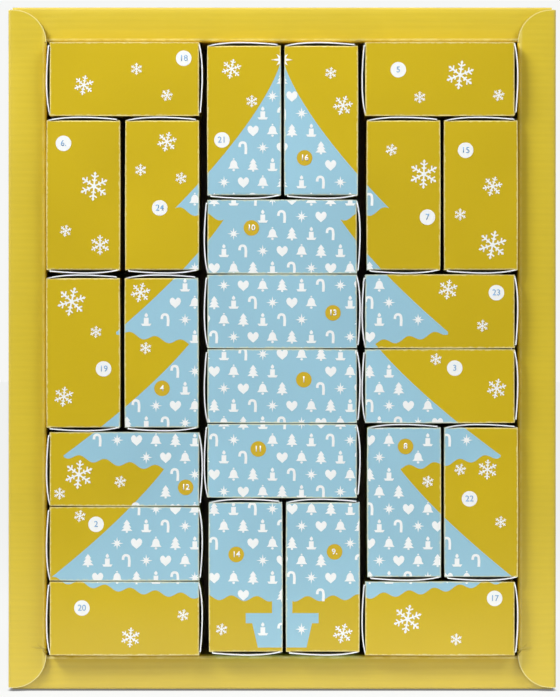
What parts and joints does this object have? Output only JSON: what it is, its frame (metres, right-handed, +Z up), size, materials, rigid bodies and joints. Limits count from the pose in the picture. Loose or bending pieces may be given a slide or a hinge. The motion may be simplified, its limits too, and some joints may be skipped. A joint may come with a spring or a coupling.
{
  "type": "coffee advent calendar",
  "caption": "Advent calendar of numbered folding cartons of coffee, packed standing and lying in a shallow corrugated tray with hollow rims.",
  "frame": {"origin": "under the middle of the calendar, on the surface that its tray stands on", "axes": "+Z up, +X to the right seen from the front, the cartons' printed faces towards -Y"},
  "size_m": [0.2718, 0.0404, 0.3393],
  "materials": {
    "tray_board": "satin",
    "carton_gold_print": "satin",
    "carton_blue_print": "satin",
    "pouch_paper": "matte"
  },
  "bodies": {
    "tray": {"back_panel": "tray_board", "rim_left": "tray_board", "rim_right": "tray_board", "rim_top": "tray_board", "rim_bottom": "tray_board"},
    "box_01": {"carton_01": "carton_blue_print", "coffee_pouch_01": "pouch_paper"},
    "box_02": {"carton_02": "carton_gold_print", "coffee_pouch_02": "pouch_paper"},
    "box_03": {"carton_03": "carton_gold_print", "coffee_pouch_03": "pouch_paper"},
    "box_04": {"carton_04": "carton_gold_print", "coffee_pouch_04": "pouch_paper"},
    "box_05": {"carton_05": "carton_gold_print", "coffee_pouch_05": "pouch_paper"},
    "box_06": {"carton_06": "carton_gold_print", "coffee_pouch_06": "pouch_paper"},
    "box_07": {"carton_07": "carton_gold_print", "coffee_pouch_07": "pouch_paper"},
    "box_08": {"carton_08": "carton_gold_print", "coffee_pouch_08": "pouch_paper"},
    "box_09": {"carton_09": "carton_blue_print", "coffee_pouch_09": "pouch_paper"},
    "box_10": {"carton_10": "carton_blue_print", "coffee_pouch_10": "pouch_paper"},
    "box_11": {"carton_11": "carton_blue_print", "coffee_pouch_11": "pouch_paper"},
    "box_12": {"carton_12": "carton_gold_print", "coffee_pouch_12": "pouch_paper"},
    "box_13": {"carton_13": "carton_blue_print", "coffee_pouch_13": "pouch_paper"},
    "box_14": {"carton_14": "carton_blue_print", "coffee_pouch_14": "pouch_paper"},
    "box_15": {"carton_15": "carton_gold_print", "coffee_pouch_15": "pouch_paper"},
    "box_16": {"carton_16": "carton_gold_print", "coffee_pouch_16": "pouch_paper"},
    "box_17": {"carton_17": "carton_gold_print", "coffee_pouch_17": "pouch_paper"},
    "box_18": {"carton_18": "carton_gold_print", "coffee_pouch_18": "pouch_paper"},
    "box_19": {"carton_19": "carton_gold_print", "coffee_pouch_19": "pouch_paper"},
    "box_20": {"carton_20": "carton_gold_print", "coffee_pouch_20": "pouch_paper"},
    "box_21": {"carton_21": "carton_gold_print", "coffee_pouch_21": "pouch_paper"},
    "box_22": {"carton_22": "carton_gold_print", "coffee_pouch_22": "pouch_paper"},
    "box_23": {"carton_23": "carton_gold_print", "coffee_pouch_23": "pouch_paper"},
    "box_24": {"carton_24": "carton_gold_print", "coffee_pouch_24": "pouch_paper"}
  },
  "joints": [
    {"name": "box_01_pull_out", "type": "slide", "parent": "tray", "child": "box_01", "axis": [0, -1, 0], "range_m": [0, 0.042]},
    {"name": "box_02_pull_out", "type": "slide", "parent": "tray", "child": "box_02", "axis": [0, -1, 0], "range_m": [0, 0.042]},
    {"name": "box_03_pull_out", "type": "slide", "parent": "tray", "child": "box_03", "axis": [0, -1, 0], "range_m": [0, 0.042]},
    {"name": "box_04_pull_out", "type": "slide", "parent": "tray", "child": "box_04", "axis": [0, -1, 0], "range_m": [0, 0.042]},
    {"name": "box_05_pull_out", "type": "slide", "parent": "tray", "child": "box_05", "axis": [0, -1, 0], "range_m": [0, 0.042]},
    {"name": "box_06_pull_out", "type": "slide", "parent": "tray", "child": "box_06", "axis": [0, -1, 0], "range_m": [0, 0.042]},
    {"name": "box_07_pull_out", "type": "slide", "parent": "tray", "child": "box_07", "axis": [0, -1, 0], "range_m": [0, 0.042]},
    {"name": "box_08_pull_out", "type": "slide", "parent": "tray", "child": "box_08", "axis": [0, -1, 0], "range_m": [0, 0.042]},
    {"name": "box_09_pull_out", "type": "slide", "parent": "tray", "child": "box_09", "axis": [0, -1, 0], "range_m": [0, 0.042]},
    {"name": "box_10_pull_out", "type": "slide", "parent": "tray", "child": "box_10", "axis": [0, -1, 0], "range_m": [0, 0.042]},
    {"name": "box_11_pull_out", "type": "slide", "parent": "tray", "child": "box_11", "axis": [0, -1, 0], "range_m": [0, 0.042]},
    {"name": "box_12_pull_out", "type": "slide", "parent": "tray", "child": "box_12", "axis": [0, -1, 0], "range_m": [0, 0.042]},
    {"name": "box_13_pull_out", "type": "slide", "parent": "tray", "child": "box_13", "axis": [0, -1, 0], "range_m": [0, 0.042]},
    {"name": "box_14_pull_out", "type": "slide", "parent": "tray", "child": "box_14", "axis": [0, -1, 0], "range_m": [0, 0.042]},
    {"name": "box_15_pull_out", "type": "slide", "parent": "tray", "child": "box_15", "axis": [0, -1, 0], "range_m": [0, 0.042]},
    {"name": "box_16_pull_out", "type": "slide", "parent": "tray", "child": "box_16", "axis": [0, -1, 0], "range_m": [0, 0.042]},
    {"name": "box_17_pull_out", "type": "slide", "parent": "tray", "child": "box_17", "axis": [0, -1, 0], "range_m": [0, 0.042]},
    {"name": "box_18_pull_out", "type": "slide", "parent": "tray", "child": "box_18", "axis": [0, -1, 0], "range_m": [0, 0.042]},
    {"name": "box_19_pull_out", "type": "slide", "parent": "tray", "child": "box_19", "axis": [0, -1, 0], "range_m": [0, 0.042]},
    {"name": "box_20_pull_out", "type": "slide", "parent": "tray", "child": "box_20", "axis": [0, -1, 0], "range_m": [0, 0.042]},
    {"name": "box_21_pull_out", "type": "slide", "parent": "tray", "child": "box_21", "axis": [0, -1, 0], "range_m": [0, 0.042]},
    {"name": "box_22_pull_out", "type": "slide", "parent": "tray", "child": "box_22", "axis": [0, -1, 0], "range_m": [0, 0.042]},
    {"name": "box_23_pull_out", "type": "slide", "parent": "tray", "child": "box_23", "axis": [0, -1, 0], "range_m": [0, 0.042]},
    {"name": "box_24_pull_out", "type": "slide", "parent": "tray", "child": "box_24", "axis": [0, -1, 0], "range_m": [0, 0.042]}
  ]
}
